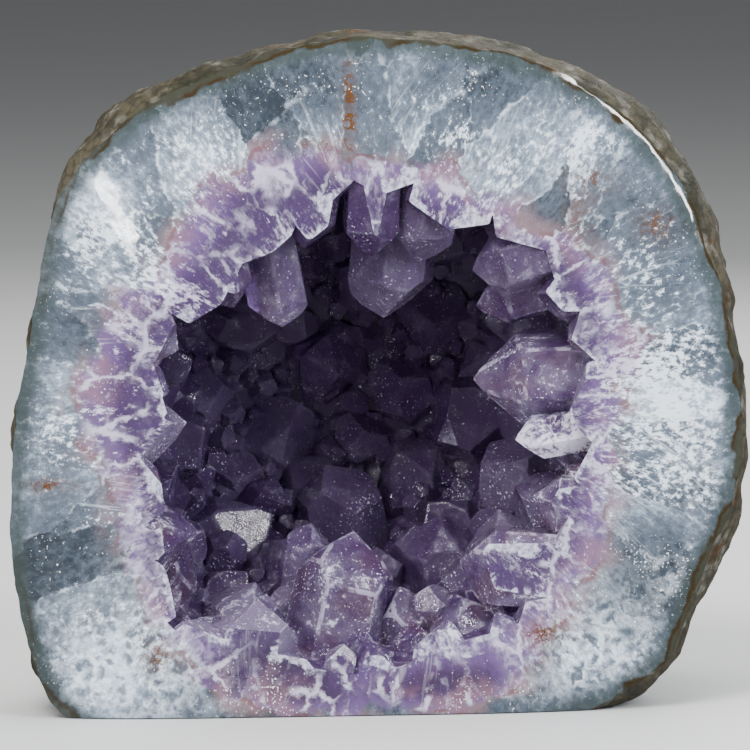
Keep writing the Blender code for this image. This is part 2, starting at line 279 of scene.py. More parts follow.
def growth_direction(root):
    """Points grow towards the middle of the hollow, and those near the face along the face."""
    depth = min(root.y * GROWTH_LEAN, GROWTH_MIDDLE)
    return (Vector((0, depth, MIDDLE_HEIGHT + SEAT_RISE * depth)) - root).normalized()


def frame_shift():
    """Where the stone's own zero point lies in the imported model, read from the two nodes' boxes."""
    crust_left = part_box("amethyst_crust")[0][0]
    face_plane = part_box("geode_wall")[0][1]
    step = 360 / SOLID_AROUND
    own_left = min(seat_point(step * i, 0, CRUST_GAP).x for i in range(SOLID_AROUND))
    return Vector((crust_left - own_left * MM, face_plane, 0))


SHIFT = frame_shift()
TO_FRAME = Matrix.Translation(SHIFT) @ Matrix.Scale(MM, 4)


def skin(point, outward, calm=1.0):
    """The rind's fine relief: low lumps, small round knobs and grain."""
    lumps = SKIN_LUMP_HEIGHT * noise.noise(point / SKIN_LUMP_SIZE)
    nearest = noise.voronoi(point / SKIN_KNOB_SIZE)[0][0]
    knobs = SKIN_KNOB_HEIGHT * (0.45 - nearest)
    grain = SKIN_GRAIN_HEIGHT * noise.noise(point / SKIN_GRAIN_SIZE)
    return point + outward * calm * (lumps + knobs + grain)


def rim_radius(degrees):
    """Where the polish ends: a little inside the outline, on a line that wavers as the rind does."""
    whole = radius_at(FACE_OUTLINE, degrees)
    here = around_middle(degrees, whole, 0)
    waver = noise.noise(here / RIND_WAVER_SIZE) + 0.5 * noise.noise(here / (RIND_WAVER_SIZE / 3))
    return whole - RIND_WIDTH + RIND_WAVER * waver


def add_ring(bm, points):
    return [bm.verts.new(point) for point in points]


def add_rings(bm, previous, rings, slot=0):
    """Joins each ring of points to the one before it, and returns the last."""
    for points in rings:
        ring = add_ring(bm, points)
        for i in range(len(ring)):
            j = (i + 1) % len(ring)
            face = bm.faces.new((previous[i], previous[j], ring[j], ring[i]))
            face.material_index = slot
        previous = ring
    return previous


def close_ring(bm, ring, tip, slot=0):
    top = bm.verts.new(tip)
    for i in range(len(ring)):
        face = bm.faces.new((ring[i], ring[(i + 1) % len(ring)], top))
        face.material_index = slot


def cut_flat(bm, point, normal, slot=0):
    """Takes away what lies on the normal's side of a plane, and closes the cut with one flat face."""
    everything = bm.verts[:] + bm.edges[:] + bm.faces[:]
    cut = bmesh.ops.bisect_plane(
        bm, geom=everything, plane_co=point, plane_no=normal, clear_outer=True, dist=1e-5
    )
    rim = [piece for piece in cut["geom_cut"] if isinstance(piece, bmesh.types.BMEdge)]
    if rim:
        for face in bmesh.ops.contextual_create(bm, geom=rim)["faces"]:
            face.material_index = slot


def to_mesh(bm, name):
    bmesh.ops.recalc_face_normals(bm, faces=bm.faces[:])
    mesh = bpy.data.meshes.new(name)
    bm.to_mesh(mesh)
    bm.free()
    return mesh


def add_object(name, mesh, collection=None):
    obj = bpy.data.objects.new(name, mesh)
    (collection or bpy.context.scene.collection).objects.link(obj)
    return obj


def set_values(mesh, name, values, domain="POINT"):
    data = mesh.attributes.new(name, "FLOAT", domain).data
    data.foreach_set("value", np.asarray(values, dtype=np.float32))


FACE_SLOT, RIND_SLOT, BASE_SLOT, SEAT_SLOT = range(4)


def wall_mesh():
    """The wall with its polished face, wavering edge, rough rind, sawn base and hollow."""
    bm = bmesh.new()
    directions = [360 * i / AROUND for i in range(AROUND)]
    wholes = [radius_at(FACE_OUTLINE, angle) for angle in directions]
    seats = [radius_at(SEAT_OUTLINE, angle) for angle in directions]
    rims = [rim_radius(angle) for angle in directions]

    face = []
    for k in range(FACE_RINGS + 1):
        ring = []
        for angle, whole, seat, rim in zip(directions, wholes, seats, rims):
            radius = seat + (rim - seat) * k / FACE_RINGS
            ring.append(around_middle(angle, radius, rim_drop(angle, radius / whole)))
        face.append(ring)
    inner = add_ring(bm, face[0])
    outer = add_rings(bm, inner, face[1:], FACE_SLOT)

    waist = [outer_point(angle, 0) for angle in directions]
    sideways = [around_middle(angle, 1, 0) - Vector((0, 0, MIDDLE_HEIGHT)) for angle in directions]
    edge = []
    for k in range(1, EDGE_RINGS + 1):
        share = k / EDGE_RINGS
        bulge = 1 - (1 - share) ** 3
        ring = []
        for start, end, out in zip(face[-1], waist, sideways):
            point = start + (end - start) * share
            spread = Vector((start.x, 0, start.z)).lerp(Vector((end.x, 0, end.z)), bulge)
            point.x, point.z = spread.x, spread.z
            ring.append(skin(point, out, min(1.0, 0.5 + share)))
        edge.append(ring)
    outer = add_rings(bm, outer, edge, RIND_SLOT)

    centre = Vector((0, WAIST_DEPTH, MIDDLE_HEIGHT))
    back = []
    for k in range(1, OUTER_RINGS):
        points = [outer_point(angle, 90 * k / OUTER_RINGS) for angle in directions]
        back.append([skin(point, (point - centre).normalized()) for point in points])
    outer = add_rings(bm, outer, back, RIND_SLOT)
    close_ring(bm, outer, skin(outer_point(0, 90), Vector((0, 1, 0))), RIND_SLOT)

    turns = [90 * k / SEAT_RINGS for k in range(1, SEAT_RINGS)]
    hollow = [[seat_point(angle, turn) for angle in directions] for turn in turns]
    close_ring(bm, add_rings(bm, inner, hollow, SEAT_SLOT), seat_point(0, 90), SEAT_SLOT)
    cut_flat(bm, Vector((0, 0, 0)), Vector((0, 0, -1)), BASE_SLOT)
    return to_mesh(bm, "geode_stone")


def angle_and_radius(point):
    off = Vector((point.x, point.z - MIDDLE_HEIGHT))
    return math.degrees(math.atan2(off.y, off.x)), off.length


def face_measures(mesh):
    """How far every vertex lies outside the hollow's outline, and inside the stone's."""
    from_seat = []
    from_rim = []
    for vert in mesh.vertices:
        degrees, radius = angle_and_radius(vert.co)
        from_seat.append(radius - radius_at(SEAT_OUTLINE, degrees))
        from_rim.append(radius_at(FACE_OUTLINE, degrees) - radius)
    set_values(mesh, "from_seat", from_seat)
    set_values(mesh, "from_rim", from_rim)
    for name, spots in SPOTS.items():
        blots(mesh, name, spots)


def blots(mesh, name, spots):
    """A soft field of listed spots: each is X, height, reach across, reach up and strength."""
    places = np.empty(len(mesh.vertices) * 3, dtype=np.float32)
    mesh.vertices.foreach_get("co", places)
    places = places.reshape(-1, 3)
    field = np.zeros(len(places))
    for x, z, across, up, strength in spots:
        far = ((places[:, 0] - x) / across) ** 2 + ((places[:, 2] - z) / up) ** 2
        field = np.maximum(field, strength * np.exp(-far))
    set_values(mesh, name, field)


# Spots on the face, in millimetres: where the quartz is whitest, clearest, crackled like a net,
# stained with rust and specked dark, where no rind is left, and how much further out the purple reaches
SPOTS = {
    "white": (
        (46, 50, 12, 17, 1.0), (40, 57, 8, 8, 0.9), (36, 8, 10, 7, 0.9), (-45, 82, 9, 11, 1.0),
        (-36, 71, 7, 9, 0.8), (-55, 66, 6, 14, 0.6), (-50, 20, 7, 9, 0.5), (-42, 8, 12, 9, 0.9),
        (18, 86, 7, 6, 0.8), (28, 90, 8, 7, 0.8), (42, 73, 7, 7, 0.6), (-29, 89, 6, 7, 0.9),
        (-53, 50, 7, 9, 1.3), (10, 4, 12, 4, 0.3), (10, 93, 10, 6, 0.7),
    ),
    "clear": (
        (-18, 101, 26, 7, 1.0), (14, 103, 22, 5, 1.0), (42, 80, 12, 8, 0.8), (44, 20, 9, 11, 1.9),
        (-50, 62, 7, 7, 0.4), (-54, 27, 7, 8, 0.8), (-24, 85, 5, 4, 0.7), (-10, 88, 6, 5, 0.6),
        (50, 74, 8, 12, 0.8), (-38, 99, 8, 5, 0.8), (-20, 4, 14, 7, 1.7), (10, 3, 15, 6, 1.3),
        (-53, 46, 9, 9, 0.7),
    ),
    "net": (
        (-41, 9, 13, 9, 1.0), (34, 9, 10, 9, 1.0), (47, 20, 5, 5, 0.5), (-38, 26, 5, 6, 0.5),
        (52, 40, 5, 8, 0.4),
    ),
    "rust": (
        (-5.6, 97, 1.0, 7.5, 1.3), (33, 85.5, 4.5, 2.6, 0.6), (43.6, 78.5, 3.0, 2.8, 0.7),
        (-54.4, 37.5, 4.5, 1.1, 0.9), (-37, 10, 3.2, 2.6, 0.7), (25, 12.7, 3.0, 2.6, 0.8),
        (31, 80, 2.5, 5.0, 0.5), (-9, 92, 5.0, 1.8, 0.5),
    ),
    "dark": (
        (41, 90, 7, 3.5, 1.0), (48, 80, 6, 3, 0.8), (-47, 33, 6, 4, 0.6), (52, 68, 4, 6, 0.5),
        (54, 24, 4, 8, 0.5),
    ),
    "bare": ((-62, 48, 16, 40, 1.3),),
    "reach": (
        (9, 4, 16, 9, 9.0), (-52, 52, 9, 10, 3.0), (-24, 82, 8, 8, 3.0), (-16, 3, 14, 7, 7.0),
        (36, 60, 8, 12, 2.0), (30, 30, 10, 10, 2.0), (10, 86, 12, 6, 2.0),
    ),
}


# Points that are paler than the rest, and by how much
PALE_POINTS = {
    "right_clear": 1.0, "bottom_right": 0.5, "left_cut": 0.5, "top_middle": 0.1, "upper_left_block": 0.3,
    "upper_right_block": 0.25, "left_round": 0.25,
}


def crystal_mesh(name, point, tone, rng, edge_round):
    """A quartz crystal: six uneven prism flats, and a tip of three broad and three narrow sloping faces.

    Its faces carry its tone, how pale it is, whether they are a rounded edge, and a chance value of their
    own.
    """
    root, tip, width, slopes = point
    axis = tip - root
    length = axis.length + ROOT_BURIAL
    half = width / 2
    steepness = rng.uniform(*slopes)
    bm = bmesh.new()
    bmesh.ops.create_cube(bm, size=2.0)
    bmesh.ops.scale(bm, vec=(width, width, length), verts=bm.verts[:])
    cut_flat(bm, Vector((0, 0, -length)), Vector((0, 0, -1)))
    for side in range(6):
        angle = FULL_TURN * side / 6
        out = Vector((math.cos(angle), math.sin(angle), 0))
        cut_flat(bm, out * half * rng.uniform(*FLAT_SPREAD), out)
        slope = out * math.sin(steepness) + Vector((0, 0, math.cos(steepness)))
        lift = half * (rng.uniform(*BROAD_LIFT) if side % 2 else rng.uniform(*NARROW_LIFT))
        cut_flat(bm, Vector((0, 0, lift)), slope)
    top = max(vert.co.z for vert in bm.verts)
    roll = Matrix.Rotation(rng.uniform(0, FULL_TURN), 3, "Z")
    turn = axis.to_track_quat("Z", "Y").to_matrix() @ roll
    rounded = bmesh.ops.bevel(
        bm, geom=bm.edges[:], offset=edge_round, segments=EDGE_STEPS, profile=EDGE_PROFILE,
        affect="EDGES", clamp_overlap=True,
    )
    for face in rounded["faces"]:
        face.material_index = 1
    bmesh.ops.translate(bm, vec=(0, 0, -top), verts=bm.verts[:])
    bmesh.ops.rotate(bm, cent=(0, 0, 0), matrix=turn, verts=bm.verts[:])
    bmesh.ops.translate(bm, vec=tip, verts=bm.verts[:])
    mesh = to_mesh(bm, name)
    wear_and_highlight = [polygon.material_index for polygon in mesh.polygons]
    chance = random.Random(round(tone * 1e6))
    facets = [0.0 if edge_face else chance.random() for edge_face in wear_and_highlight]
    set_values(mesh, "tone", [tone] * len(wear_and_highlight), "FACE")
    set_values(mesh, "pale", [PALE_POINTS.get(name, 0.0)] * len(wear_and_highlight), "FACE")
    set_values(mesh, "wear_and_highlight", wear_and_highlight, "FACE")
    set_values(mesh, "facet", facets, "FACE")
    for polygon in mesh.polygons:
        polygon.material_index = 0
    return mesh


def rim_points(rng):
    """Roots, tips, widths and slopes of the row of blunt points that the saw went through."""
    found = []
    for k in range(RIM_POINTS):
        degrees = 360 * k / RIM_POINTS
        depth = rng.uniform(*RIM_DEPTHS)
        root = around_middle(degrees, radius_at(SEAT_OUTLINE, degrees), depth)
        aim = degrees + rng.uniform(-RIM_SWAY, RIM_SWAY)
        tip = around_middle(aim, radius_at(OPENING_OUTLINE, aim), depth)
        found.append((root, tip, rng.uniform(*RIM_WIDTHS), RIM_SLOPES))
    return found


def scattered_points(rng, taken, tries, widths, reach, spacing):
    """Roots, tips, widths and slopes of points that fill the hollow between those already there."""
    found = []
    for _ in range(tries):
        degrees = rng.uniform(0, 360)
        turn = rng.uniform(0, 90)
        width = rng.uniform(*widths)
        root = seat_point(degrees, turn)
        if any((root - other).length < spacing * (width + size) / 2 for other, size in taken):
            continue
        tilt = Vector((rng.uniform(-1, 1), rng.uniform(-1, 1), rng.uniform(-1, 1))) * SCATTER_TILT
        axis = (growth_direction(root) + tilt).normalized()
        tip = root + axis * (LINING + width * rng.uniform(*reach))
        taken.append((root, width))
        found.append((root, tip, width, TIP_SLOPES))
    return found


# The crust's trim: its gap to the wall in front, how deep it sits in the wall, and the margin of its tools
SECTION_GAP = 0.02
EMBED = 1.2
CUP_MARGIN = 2.0


def cup(name, gap, proud=0.0, domed=False):
    """The hollow's own shape as a solid. Its front stands proud of the face, or follows the polish."""
    bm = bmesh.new()
    directions = [360 * i / CAP_AROUND for i in range(CAP_AROUND)]
    rings = []
    for k in range(SEAT_RINGS * 2):
        turn = 90 * k / (SEAT_RINGS * 2)
        widen = gap if k or not domed else SECTION_GAP
        rings.append([seat_point(angle, turn, widen) for angle in directions])
    if domed:
        for point, angle in zip(rings[0], directions):
            point.y = rim_drop(angle, angle_and_radius(point)[1] / radius_at(FACE_OUTLINE, angle))
    if proud:
        rings.insert(0, [point - Vector((0, proud, 0)) for point in rings[0]])
    front = add_ring(bm, rings[0])
    close_ring(bm, add_rings(bm, front, rings[1:]), seat_point(0, 90, gap))
    cap = bm.faces.layers.float.new("cap")
    if domed:
        made = len(bm.faces)
        rings = []
        for k in range(CAP_RINGS - 1, 0, -1):
            ring = []
            for angle, vert in zip(directions, front):
                radius = angle_and_radius(vert.co)[1] * (k / CAP_RINGS)
                drop = rim_drop(angle, radius / radius_at(FACE_OUTLINE, angle))
                ring.append(around_middle(angle, radius, drop))
            rings.append(ring)
        close_ring(bm, add_rings(bm, front, rings), Vector((0, 0, MIDDLE_HEIGHT)))
        bm.faces.ensure_lookup_table()
        for face in bm.faces[made:]:
            face[cap] = 1.0
    else:
        bm.faces.new(front)
    return add_object(name, to_mesh(bm, name), HELPERS)


def crust_mesh():
    """The crust as one closed skin: lining and points united, trimmed to the hollow and the polish."""
    rng = random.Random(SEED)
    points = []
    for name, (degrees, depth), tip, width in MAIN_POINTS:
        points.append((seat_point(degrees, seat_turn(depth)), Vector(tip), width, TIP_SLOPES))
    points += rim_points(rng)
    taken = [(root, width) for root, _, width, _ in points]
    points += scattered_points(rng, taken, SCATTER_TRIES, SCATTER_WIDTHS, SCATTER_REACH, SCATTER_SPACING)
    group = bpy.data.collections.new("crust_points")
    bpy.context.scene.collection.children.link(group)
    for number, point in enumerate(points):
        name = MAIN_POINTS[number][0] if number < len(MAIN_POINTS) else f"point_{number:03d}"
        tone = random.Random(number).random()
        add_object(name, crystal_mesh(name, point, tone, rng, EDGE_ROUND), group)
    fine_rng = random.Random(FINE_SEED)
    small = [(root, width * FINE_CROWDING) for root, width in taken]
    fine = scattered_points(fine_rng, small, FINE_TRIES, FINE_WIDTHS, FINE_REACH, FINE_SPACING)
    for number, point in enumerate(fine):
        name = f"fine_{number:03d}"
        tone = fine_rng.random()
        add_object(name, crystal_mesh(name, point, tone, fine_rng, FINE_EDGE_ROUND), group)
    draft = cup("crust_draft", -CUP_MARGIN, proud=CUP_MARGIN)
    hollow = cup("crust_hollow", LINING, proud=3 * CUP_MARGIN)
    trim = cup("crust_trim", -EMBED, domed=True)
    for label, operation, target in (
        ("hollow", "DIFFERENCE", hollow),
        ("points", "UNION", group),
        ("trim", "INTERSECT", trim),
    ):
        change = draft.modifiers.new(label, "BOOLEAN")
        change.solver = "MANIFOLD"
        change.operation = operation
        if operation == "UNION":
            change.operand_type = "COLLECTION"
            change.collection = target
        else:
            change.object = target
    graph = bpy.context.evaluated_depsgraph_get()
    mesh = bpy.data.meshes.new_from_object(draft.evaluated_get(graph))
    for obj in list(group.objects):
        bpy.data.objects.remove(obj)
    bpy.data.collections.remove(group)
    return mesh


def largest_piece(mesh, name):
    """The mesh without the sealed gaps between crowded points, which would show as bubbles."""
    bm = bmesh.new()
    bm.from_mesh(mesh)
    pieces = []
    unseen = set(bm.faces)
    while unseen:
        waiting = [unseen.pop()]
        piece = set(waiting)
        while waiting:
            near = {face for edge in waiting.pop().edges for face in edge.link_faces} & unseen
            unseen -= near
            piece |= near
            waiting += near
        pieces.append(piece)
    keep = max(pieces, key=len)
    bmesh.ops.delete(bm, geom=[face for face in bm.faces if face not in keep], context="FACES")
    kept = bpy.data.meshes.new(name)
    bm.to_mesh(kept)
    bm.free()
    return kept


CRYSTAL_SLOT, SECTION_SLOT = range(2)
SEAT_MARGIN = 1.0
FAR_FROM_EDGE = 20.0


def section_measures(mesh):
    """Marks the polished section, and how far each vertex of it lies from the section's inner edge."""
    caps = np.zeros(len(mesh.polygons), dtype=np.float32)
    mesh.attributes["cap"].data.foreach_get("value", caps)
    edge_use = {}
    for polygon, cap in zip(mesh.polygons, caps):
        polygon.material_index = SECTION_SLOT if cap > 0.5 else CRYSTAL_SLOT
        for key in polygon.edge_keys:
            edge_use.setdefault(key, []).append(cap > 0.5)
    rim = set()
    for key, uses in edge_use.items():
        if any(uses) and not all(uses):
            middle = (mesh.vertices[key[0]].co + mesh.vertices[key[1]].co) / 2
            degrees, radius = angle_and_radius(middle)
            if radius < radius_at(SEAT_OUTLINE, degrees) - SEAT_MARGIN:
                rim.update(key)
    tree = KDTree(len(rim))
    for index in rim:
        tree.insert(mesh.vertices[index].co, index)
    tree.balance()
    from_edge = [min(FAR_FROM_EDGE, tree.find(vert.co)[2]) for vert in mesh.vertices]
    set_values(mesh, "from_edge", from_edge)


RADIAL_REFERENCE = 50.0


class Shader:
    """Short ways to add and join nodes in one material."""

    def __init__(self, name):
        self.material = bpy.data.materials.new(name)
        self.material.use_nodes = True
        self.nodes = self.material.node_tree.nodes
        self.links = self.material.node_tree.links
        self.skin = self.nodes["Principled BSDF"]

    def put(self, socket, value):
        if isinstance(value, bpy.types.NodeSocket):
            self.links.new(value, socket)
        elif isinstance(value, tuple) and socket.type == "RGBA":
            socket.default_value = (*value, 1.0)
        else:
            socket.default_value = value

    def add(self, kind, inputs=(), **settings):
        node = self.nodes.new(kind)
        for key, value in settings.items():
            setattr(node, key, value)
        for key, value in dict(inputs).items():
            self.put(node.inputs[key], value)
        return node

    def set(self, **inputs):
        for key, value in inputs.items():
            self.put(self.skin.inputs[key.replace("_", " ")], value)

    def math(self, operation, a, b=0.0, clamp=False):
        return self.add("ShaderNodeMath", {0: a, 1: b}, operation=operation, use_clamp=clamp).outputs[0]

    times = partialmethod(math, "MULTIPLY")
    plus = partialmethod(math, "ADD")
    less = partialmethod(math, "SUBTRACT")
    most = partialmethod(math, "MAXIMUM")
    off_zero = partialmethod(math, "ABSOLUTE")

    def vector(self, operation, a, b=(0, 0, 0)):
        return self.add("ShaderNodeVectorMath", {0: a, 1: b}, operation=operation).outputs[0]

    def scaled(self, a, by):
        return self.add("ShaderNodeVectorMath", {0: a, "Scale": by}, operation="SCALE").outputs[0]

    def parts(self, vector):
        return self.add("ShaderNodeSeparateXYZ", {0: vector}).outputs

    def spot(self):
        """Where the shaded point is in the stone's own frame, in millimetres."""
        place = self.add("ShaderNodeTexCoord").outputs["Object"]
        return self.scaled(self.vector("SUBTRACT", place, tuple(SHIFT)), 1 / MM)

    def field(self, name):
        return self.add("ShaderNodeAttribute", attribute_name=name).outputs["Fac"]

    def ramp(self, value, low, high, start=0.0, end=1.0):
        """Smooth step of a value from low to high."""
        if low > high:
            low, high, start, end = high, low, end, start
        inputs = {"Value": value, "From Min": low, "From Max": high, "To Min": start, "To Max": end}
        return self.add("ShaderNodeMapRange", inputs, interpolation_type="SMOOTHSTEP").outputs[0]

    def mix(self, share, a, b):
        return self.add("ShaderNodeMix", {0: share, 6: a, 7: b}, data_type="RGBA").outputs[2]

    def mix_value(self, share, a, b):
        return self.add("ShaderNodeMix", {0: share, 2: a, 3: b}, data_type="FLOAT").outputs[0]

    def noise(self, where, size, detail=2.0, rough=0.5):
        inputs = {"Vector": where, "Scale": 1 / size, "Detail": detail, "Roughness": rough}
        return self.add("ShaderNodeTexNoise", inputs).outputs["Fac"]

    def wander(self, where, size, reach, detail=2.0):
        """The same place pushed about by up to half the reach."""
        inputs = {"Vector": where, "Scale": 1 / size, "Detail": detail}
        colour = self.add("ShaderNodeTexNoise", inputs).outputs["Color"]
        push = self.vector("SUBTRACT", colour, (0.5, 0.5, 0.5))
        return self.vector("ADD", where, self.scaled(push, reach))

    def cells(self, where, size):
        """Distance from the middle of a cell, and three values of the cell's own."""
        node = self.add("ShaderNodeTexVoronoi", {"Vector": where, "Scale": 1 / size}, feature="F1")
        own = self.add("ShaderNodeSeparateColor", {0: node.outputs["Color"]}).outputs
        return node.outputs["Distance"], own

    def cell_edges(self, where, size):
        inputs = {"Vector": where, "Scale": 1 / size}
        return self.add("ShaderNodeTexVoronoi", inputs, feature="DISTANCE_TO_EDGE").outputs["Distance"]

    def bump(self, height, distance, strength=1.0):
        inputs = {"Height": height, "Distance": distance, "Strength": strength}
        return self.add("ShaderNodeBump", inputs).outputs[0]

    def radial(self, spot, stretch, shear=None):
        """Coordinates round the hollow and, times the stretch, away from it, leaning by the shear."""
        across, _, up = self.parts(spot)
        flat = self.add("ShaderNodeCombineXYZ", {0: across, 2: self.less(up, MIDDLE_HEIGHT)}).outputs[0]
        length = self.add("ShaderNodeVectorMath", {0: flat}, operation="LENGTH").outputs["Value"]
        ring = self.scaled(self.vector("NORMALIZE", flat), RADIAL_REFERENCE)
        if shear is not None:
            lean = self.times(self.less(length, RADIAL_REFERENCE), shear)
            inputs = {"Vector": ring, "Angle": self.times(lean, 1 / RADIAL_REFERENCE)}
            ring = self.add("ShaderNodeVectorRotate", inputs, rotation_type="Y_AXIS").outputs[0]
        across, _, up = self.parts(ring)
        inputs = {0: across, 1: self.times(length, stretch), 2: up}
        return self.add("ShaderNodeCombineXYZ", inputs).outputs[0]


QUARTZ_IOR = 1.544

# Colours of the sawn quartz and its stains
SLATE = (0.028, 0.036, 0.046)
GREY_BLUE = (0.112, 0.138, 0.178)
MILK = (0.34, 0.41, 0.50)
SNOW = (0.81, 0.90, 1.00)
WHITE = (1.0, 1.0, 1.0)
NET_GREY = (0.085, 0.102, 0.128)
RIM_GREEN = (0.038, 0.052, 0.048)
RIM_OLIVE = (0.036, 0.034, 0.020)
RIM_BROWN = (0.032, 0.019, 0.006)
IRON_RED = (0.150, 0.062, 0.058)
IRON_PINK = (0.33, 0.20, 0.22)
RUST = (0.105, 0.043, 0.015)
MOSS = (0.030, 0.040, 0.040)

# Colours of the sawn amethyst
PALE_LILAC = (0.30, 0.245, 0.38)
DUSKY = (0.13, 0.085, 0.19)
VIOLET = (0.130, 0.075, 0.210)
DUSK = (0.038, 0.022, 0.050)
ROSE = (0.26, 0.145, 0.18)
LILAC_FROST = (0.72, 0.68, 0.84)
CHIPPED_DARK = (0.20, 0.18, 0.26)
CHIPPED_PALE = (0.72, 0.74, 0.86)

# Colours of the points, and of the quartz behind them
POINT_PURPLE = (0.155, 0.080, 0.235)
POINT_LILAC = (0.53, 0.43, 0.66)
POINT_RED = (0.26, 0.12, 0.18)
# Painted shade: the darker purple laid on points deep in the hollow and high under its roof
POINT_PAINTED_SHADE = (0.115, 0.060, 0.180)
POINT_FROST = (0.82, 0.80, 0.95)
VEIL = (0.46, 0.42, 0.56)
SEAT_PURPLE = (0.20, 0.12, 0.30)
SEAT_LILAC = (0.60, 0.52, 0.68)
# Painted shade: the dark violet laid on the quartz deep in the hollow
SEAT_PAINTED_SHADE = (0.075, 0.035, 0.125)

# Colours of the rind
RIND_OLIVE = (0.030, 0.029, 0.017)
RIND_TAN = (0.075, 0.064, 0.040)
RIND_GREY = (0.165, 0.155, 0.125)
RIND_RUST = (0.085, 0.036, 0.010)
PIT_BLACK = (0.014, 0.013, 0.010)

# Sizes of the section's patterns. A stretch below 1 draws a pattern out, away from the hollow.
GRAIN_SIZE = 8.0
GRAIN_STRETCH = 0.46
CLOUD_SIZE = 12.0
GRIT_SIZE = 0.95
GRIT_STRETCH = 0.62
NEEDLE_SIZE = 0.75
NEEDLE_STRETCH = 0.06
NEEDLE_LEAN = 1.6
NET_SIZE = 2.6
CRYSTAL_SIZE = 7.5
CRYSTAL_STRETCH = 0.75


def fracture_glints(s, spot, share):
    """White flecks in clumps: small fractures, with painted glints where they would catch the light."""
    fleck = s.noise(spot, 0.42, 2.0, 0.6)
    clump = s.times(s.less(s.noise(spot, 7.0, 2.0), 0.5), 0.30)
    return s.ramp(s.plus(s.plus(fleck, clump), share), 0.685, 0.755)


class SectionPatterns:
    """What the section's colour and frost both follow: grains, clouds, grit and cut crystals."""

    def __init__(self, s, spot):
        self.spot = spot
        self.rough = s.wander(spot, 1.5, 2.2, 4.0)
        self.bent = s.wander(spot, 9.0, 5.0, 2.0)
        grains = s.radial(s.wander(self.rough, 14.0, 6.0, 1.0), GRAIN_STRETCH)
        self.middle, own = s.cells(grains, GRAIN_SIZE)
        self.tone, self.frosty, self.offset = own[0], own[1], own[2]
        self.edge = s.cell_edges(grains, GRAIN_SIZE)
        self.white = s.field("white")
        self.clear = s.field("clear")
        self.cloud = s.noise(spot, CLOUD_SIZE, 3.0, 0.55)
        self.grit = s.less(s.noise(s.radial(spot, GRIT_STRETCH), GRIT_SIZE, 6.0, 0.72), 0.5)
        crystals = s.radial(self.rough, CRYSTAL_STRETCH)
        self.outline = s.plus(s.cell_edges(crystals, CRYSTAL_SIZE), s.times(self.grit, 0.20))
        inside = s.less(s.field("reach"), s.field("from_seat"))
        inside = s.plus(inside, s.times(s.less(self.offset, 0.5), 5.0))
        self.inside = s.plus(inside, s.times(s.less(s.noise(self.rough, 7.0, 2.0), 0.5), 8.0))


def quartz_colour(s, at):
    """Slate, grey-blue and milky grains, each with a tone of its own."""
    contrast = s.ramp(at.clear, 0.0, 1.0, 0.60, 0.26)
    body = s.plus(s.times(s.less(at.tone, 0.5), contrast), s.times(at.cloud, 0.85))
    body = s.plus(s.plus(body, 0.3), s.times(s.times(at.middle, at.frosty), 0.30))
    body = s.plus(body, s.plus(s.times(s.less(at.white, at.clear), 0.34), s.times(at.grit, 1.5)))
    colour = s.mix(s.ramp(body, 0.18, 0.98), SLATE, GREY_BLUE)
    return s.mix(s.ramp(body, 0.82, 1.35), colour, MILK)


def quartz_frost(s, at):
    """How frosted the grains are: in patches, in sheaves of needles, and along the seams between them."""
    amount = s.plus(s.times(at.frosty, 0.42), s.noise(at.bent, 6.5, 3.0, 0.6))
    amount = s.plus(amount, s.times(s.less(at.white, at.clear), 0.40))
    frost = s.ramp(s.plus(amount, s.times(at.grit, 3.2)), 0.98, 1.36)
    lean = s.times(s.less(at.offset, 0.5), NEEDLE_LEAN)
    needles = s.noise(s.radial(at.spot, NEEDLE_STRETCH, lean), NEEDLE_SIZE, 3.0, 0.6)
    sheaves = s.ramp(s.plus(at.frosty, s.times(at.cloud, 0.6)), 0.70, 1.05)
    needles = s.times(s.ramp(needles, 0.58, 0.67), sheaves)
    frost = s.most(frost, s.times(needles, s.ramp(at.clear, 0.0, 0.8, 0.40, 0.16)))
    seam = s.ramp(s.plus(at.edge, s.times(at.grit, -0.12)), 0.040, 0.0)
    seam = s.times(seam, s.ramp(s.noise(at.spot, 3.0, 3.0), 0.46, 0.6))
    return s.most(frost, s.times(seam, s.ramp(at.clear, 0.0, 0.8, 0.60, 0.30)))


def add_net(s, at, colour, frost):
    """Lays the net of white cracks over the quartz, where it has one."""
    web = s.ramp(s.cell_edges(s.wander(at.rough, 5.0, 6.0, 2.0), NET_SIZE), 0.30, 0.04)
    net = s.times(s.field("net"), s.ramp(s.noise(at.spot, 6.0, 2.0), 0.30, 0.46))
    cracks = s.times(web, s.ramp(at.grit, -0.10, 0.10, 0.45, 1.0))
    frost = s.mix_value(s.times(net, 0.92), frost, cracks)
    colour = s.mix(s.times(s.times(net, s.less(1.0, web)), 0.7), colour, NET_GREY)
    return colour, frost


def calm_rim(s, at, frost):
    """Less frost near the rim, but for where the quartz is whitest."""
    rim = s.plus(s.field("from_rim"), s.times(s.noise(at.spot, 5.0, 2.0), 4.0))
    return s.times(frost, s.most(s.ramp(rim, 3.0, 8.0), s.times(at.white, 0.5)))


